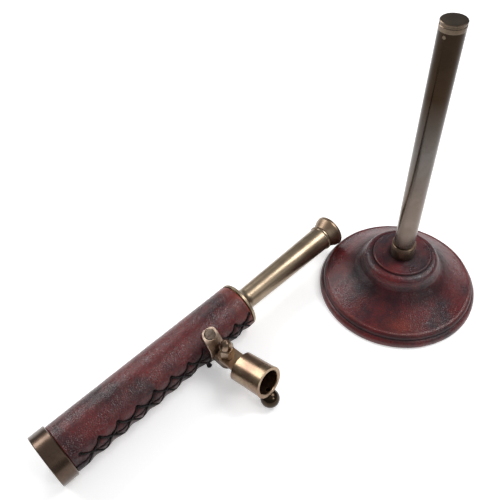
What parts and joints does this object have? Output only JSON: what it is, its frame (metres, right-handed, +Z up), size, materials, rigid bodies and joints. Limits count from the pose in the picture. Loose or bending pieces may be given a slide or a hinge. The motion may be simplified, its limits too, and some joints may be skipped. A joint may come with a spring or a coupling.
{
  "type": "table telescope",
  "caption": "Small table telescope with a laced leather barrel, tapered brass draw tube, pivoting post socket and ball clamp screw, laid beside its round leather stand with a brass post.",
  "frame": {"origin": "centre of the stand's underside, on the floor", "axes": "+Z up along the stand's post; +X along the telescope from its objective to its eyepiece; the telescope lies at +Y of the stand's axis, its socket towards -Y"},
  "size_m": [0.2876, 0.1245, 0.188],
  "materials": {
    "base_leather": "burnished oxblood leather, mottled dark",
    "barrel_leather": "burnished oxblood leather, pebbled grain",
    "lacing_cord": "waxed black cord",
    "antique_brass": "antiqued satin brass",
    "post_metal": "aged grey-brown brass tube",
    "blackened_brass": "blackened inside",
    "zinc_steel": "zinc plated",
    "wood_core": "turned hardwood",
    "felt": "felt pad",
    "optical_glass": "polished"
  },
  "bodies": {
    "stand": {"base_core": "wood_core", "base_leather": "base_leather", "base_top_disc": "base_leather", "base_felt": "felt", "base_washer": "zinc_steel", "base_nut": "zinc_steel", "post_stud": "zinc_steel", "post_ferrule": "antique_brass", "post_plug": "post_metal", "post_tube": "post_metal", "post_cap": "post_metal", "cap_pin": "post_metal"},
    "barrel": {"main_tube": "antique_brass", "leather_wrap": "barrel_leather", "seam_lacing": "lacing_cord", "objective_bezel": "antique_brass", "objective_crown_lens": "optical_glass", "objective_flint_lens": "optical_glass", "lens_retaining_ring": "blackened_brass", "stop_ring": "blackened_brass", "rear_ring": "antique_brass", "cradle": "antique_brass", "cradle_screws": "antique_brass", "pivot_bolt": "antique_brass", "pivot_washer": "antique_brass"},
    "pivot_nut": {"dome_nut": "antique_brass"},
    "draw": {"draw_tube": "antique_brass", "draw_slide_ring": "antique_brass", "tail_piece": "antique_brass", "eyecup": "antique_brass", "eyepiece_cell": "antique_brass", "field_lens": "optical_glass", "eye_lens": "optical_glass", "eyepiece_spacer": "blackened_brass", "erector_cell": "blackened_brass", "erector_front_lens": "optical_glass", "erector_rear_lens": "optical_glass", "erector_stop": "blackened_brass"},
    "post_socket": {"socket": "antique_brass"},
    "clamp": {"clamp_screw": "antique_brass"}
  },
  "joints": [
    {"name": "telescope_lift", "type": "slide", "parent": "stand", "child": "barrel", "axis": [0, 0, 1], "range_m": [0, 0.3]},
    {"name": "focus_draw", "type": "slide", "parent": "barrel", "child": "draw", "axis": [1, 0, 0], "range_m": [0, 0.045]},
    {"name": "mount_tilt", "type": "hinge", "parent": "barrel", "child": "post_socket", "pos_m": [-0.1242, 0.0338, 0.01755], "axis": [0, 0, 1], "range_deg": [-74.6, 65.4]},
    {"name": "clamp_turn", "type": "hinge", "parent": "post_socket", "child": "clamp", "pos_m": [-0.12179, 0.0039, 0.0208], "axis": [-0.0453, -0.2204, -0.9744], "range_deg": [-1080, 1080]},
    {"name": "nut_turn", "type": "hinge", "parent": "barrel", "child": "pivot_nut", "pos_m": [-0.1242, 0.0338, 0.0265], "axis": [0, 0, 1], "range_deg": [0, 1080]}
  ]
}
